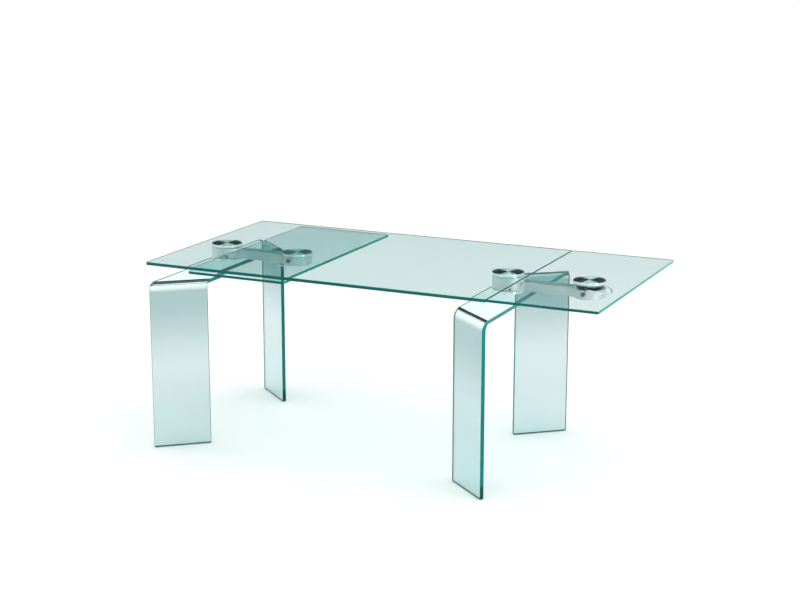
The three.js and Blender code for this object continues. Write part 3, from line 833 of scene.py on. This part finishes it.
def swing_arm(side):
    node = f"{side}_arm"
    low, high = levels(node)
    column, boss, shaft = (middle(f"{side}_{name}") for name in ("column_disc", "leaf_disc", "pinion_shaft"))
    reach = boss.x - column.x
    plan = arm_plan(reach)
    over_boss = upright(reach)
    casting = slab(f"{side}_casting", plan, low, BEAM_TOP)
    fillet = high - BEAM_TOP
    hollow = [(HEAD + fillet - x, high - z) for x, z in arc(0, 0, fillet, math.pi / 2, 0, 12)]
    saddle = turned("saddle", [(HEAD - MM, low), *hollow, (HEAD - MM, high), (HEAD - MM, low)], FINE_STEPS)
    cut_away(saddle, slab("saddle_plan", plan, low - MM, high + MM), "INTERSECT")
    hub = turned("hub", rod_section(HEAD, low, high), FINE_STEPS)
    cut_away(hub, saddle, "UNION")
    cut_away(casting, hub, "UNION")
    top = high + MM
    seat = [(0, SEAT_FLOOR), (SEAT_RADIUS, SEAT_FLOOR), (SEAT_RIM, BEAM_TOP), (SEAT_RIM, top), (0, top)]
    under = low - MM
    outside = HEAD + MM
    across = Matrix.Translation((reach, 0, shaft.z)) @ Matrix.Rotation(math.pi / 2, 4, "X")
    tools = [
        turned("bore", rod_section(HUB_BORE, under, top)),
        turned("seat", seat, FINE_STEPS, over_boss),
        turned("floor_bore", rod_section(SEAT_BORE, under, top), place=over_boss),
        turned("cover_recess", rod_section(COVER_RADIUS + FREE, under, low + COVER_DEPTH), place=over_boss),
        turned("cross_bore", rod_section(CROSS_BORE, -outside, outside), 48, across),
        turned("screw_bore", rod_section(PRESSURE_BORE, HUB_BORE - MM, outside), 32,
               pressure_turn(side, Vector())),
    ]
    for tool in tools:
        cut_away(casting, tool)
    casting.data.transform(upright(column.x))
    soften(casting, 0.8 * MM, sharp=40)
    settle(casting, node, [CAST])


for side in SIDES:
    swing_arm(side)

# %% [markdown]
# ## Cover and screws
# A cover closes the boss from below. Its screws, and the one that sets the arm's friction from the side of
# the hub, have hexagon sockets: the screw is turned, and a six-sided tool is cut out of its head.

# %% Cover and screws
COVER_CIRCLE = 44 * MM
COVER_ANGLES = (60, 180, 300)
COVER_SOCKET = 1.7 * MM
COVER_SOCKET_DEPTH = 1.3 * MM
PRESSURE_SOCKET = 2.2 * MM
PRESSURE_SOCKET_DEPTH = 3 * MM


def socket_screw(name, section, socket, depth, place):
    """A turned screw whose head is at its low end, with a hexagon socket cut into the head."""
    screw = turned(name, section, 32)
    head = section[0][1]
    tool = begin("hexagon", "cylinder", vertices=6, radius=socket, depth=2 * depth, location=(0, 0, head))
    bpy.ops.object.mode_set(mode="OBJECT")
    cut_away(screw, tool)
    screw.data.transform(place)
    soften(screw, 0.25 * MM, sharp=40)
    return screw


def cover_and_screws(side):
    boss, column = middle(f"{side}_leaf_disc"), middle(f"{side}_column_disc")
    node = f"{side}_boss_cover"
    low, high = levels(node)
    cover = turned(f"{node}_turned", rod_section(COVER_RADIUS, low, high), place=upright(boss.x))
    turns = [math.radians(angle) for angle in COVER_ANGLES]
    spots = [(boss.x + COVER_CIRCLE * math.cos(turn), COVER_CIRCLE * math.sin(turn)) for turn in turns]
    for spot in spots:
        cut_away(cover, turned("hole", rod_section(SCREW_HOLE, low - MM, high + MM), 24, upright(*spot)))
    soften(cover, 0.4 * MM)
    settle(cover, node, [CAST])
    for number, spot in enumerate(spots, 1):
        node = f"{side}_cover_screw_{number}"
        bottom, tip = levels(node)
        under_head = low - FREE
        head, shank = width(node) / 2, 2 * MM
        section = [(0, bottom), (head, bottom), (head, under_head), (shank, under_head), (shank, tip),
                   (0, tip)]
        screw = socket_screw(f"{node}_turned", section, COVER_SOCKET, COVER_SOCKET_DEPTH, upright(*spot))
        settle(screw, node, [SCREW])
    node = f"{side}_pressure_screw"
    outer, inner, radius = HEAD - 1.5 * MM, HUB_BORE + FREE, 4 * MM
    flip = Matrix.Rotation(math.pi, 4, "X")
    screw = socket_screw(f"{node}_turned", rod_section(radius, -outer, -inner), PRESSURE_SOCKET,
                         PRESSURE_SOCKET_DEPTH, pressure_turn(side, column) @ flip)
    settle(screw, node, [SCREW])


for side in SIDES:
    cover_and_screws(side)

# %% [markdown]
# ## Lever
# A shaft crosses the boss in two flanged bushes. Outside them a wire bail is coiled round each end of the
# shaft and runs round the boss as a handle, and a small round knob ends the shaft. The bail is a curve
# through a few points with a round bevel, made a mesh at the end. Where the leaf is down, the whole lever
# is turned over.

# %% Bushes, knobs and bails
PITCH_RADIUS = 6.5 * MM
LEVER_TURN = (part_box("right_leaf")[0].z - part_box("left_leaf")[0].z) / PITCH_RADIUS
WIRE = 2 * MM
EYE = 7 * MM
COIL_STEPS = 12
COIL_START = 70
COIL_TURN = 290
COIL_PITCH = 1.5 * MM
BAIL_SIDE = 67 * MM
BAIL_LEG = [(8.5, 67, 7), (13, 67, 13.2), (21, 67, 16.3), (36, 64, 12.5), (56, 54, 6), (74, 34, 0.5)]
BAIL_TIP = (84, 0, -2.5)


def lever_place(side):
    shaft = middle(f"{side}_pinion_shaft")
    turn = 0 if side == "right" else LEVER_TURN
    return Matrix.Translation(shaft) @ Matrix.Rotation(turn, 4, "Y")


def lever_ends(side, end, sign):
    """The bush and the knob of one end: sign is -1 at the front and 1 at the back."""
    outwards = Matrix.Rotation(-sign * math.pi / 2, 4, "X")
    place = lever_place(side) @ outwards
    bore, sleeve, flange = 5.1 * MM, 7.5 * MM, 9.5 * MM
    inner, wall, face = 54 * MM, HEAD + FREE, HEAD + 2.5 * MM
    section = [(bore, inner), (sleeve, inner), (sleeve, wall), (flange, wall), (flange, face), (bore, face),
               (bore, inner)]
    bush = turned(f"{side}_{end}_bush_turned", section, 48,
                  Matrix.Translation(middle(f"{side}_pinion_shaft")) @ outwards)
    soften(bush, 0.3 * MM)
    settle(bush, f"{side}_{end}_shaft_bush", [BRONZE])
    near, far, rim = 69.6 * MM, 77.5 * MM, 8 * MM
    pocket, pocket_floor = 5.3 * MM, 75.3 * MM
    dish_rim, dish, dish_floor = 5 * MM, 4.2 * MM, far - 0.8 * MM
    section = [(0, pocket_floor), (pocket, pocket_floor), (pocket, near), (rim, near), (rim, far),
               (dish_rim, far), (dish, dish_floor), (0, dish_floor)]
    knob = turned(f"{side}_{end}_knob_turned", section, 48, place)
    soften(knob, 0.8 * MM)
    settle(knob, f"{side}_{end}_knob", [KNOB_STEEL])


def bail(side):
    """One wire, coiled round both ends of the shaft and led round the boss."""
    node = f"{side}_bail"
    coil = []
    for step in range(COIL_STEPS + 1):
        angle = math.radians(COIL_START + COIL_TURN * step / COIL_STEPS)
        y = BAIL_SIDE - (1 - step / COIL_STEPS) * COIL_PITCH
        coil.append((EYE * math.cos(angle), y, EYE * math.sin(angle)))
    leg = coil + [(x * MM, y * MM, z * MM) for x, y, z in BAIL_LEG]
    route = ([(x, -y, z) for x, y, z in leg] + [tuple(c * MM for c in BAIL_TIP)] + leg[::-1])
    bpy.ops.object.select_all(action="DESELECT")
    bpy.ops.curve.primitive_bezier_curve_add()
    wire = bpy.context.object
    wire.name = f"{node}_wire"
    spline = wire.data.splines[0]
    spline.bezier_points.add(len(route) - 2)
    for point, place in zip(spline.bezier_points, route):
        point.co = place
        point.handle_left_type = point.handle_right_type = "AUTO"
    wire.data.resolution_u = 6
    wire.data.bevel_depth = WIRE
    wire.data.bevel_resolution = 4
    wire.data.use_fill_caps = True
    bpy.ops.object.convert(target="MESH")
    wire.data.transform(lever_place(side))
    bpy.ops.object.mode_set(mode="EDIT")
    close_up()
    bpy.ops.object.shade_smooth_by_angle(angle=math.radians(50))
    settle(wire, node, [BRIGHT])


for side in SIDES:
    lever_ends(side, "front", -1)
    lever_ends(side, "back", 1)
    bail(side)

# %% [markdown]
# ## Hidden parts
# The bushes, the pinion shafts, the racks and the screws inside the pistons already have their shape in the
# model, so they keep it and only get a finish.

# %% Finishes for the model's own parts
HIDDEN = {"arm_bush": BRONZE, "pinion_shaft": BRIGHT, "lift_rack": CAST, "piston_screw": SCREW}
for name, part in frame["nodes"].items():
    if not part.hide_render:
        finish = next(finish for word, finish in HIDDEN.items() if word in name)
        part.data.materials.clear()
        part.data.materials.append(finish)
        print("kept from the model:", name)
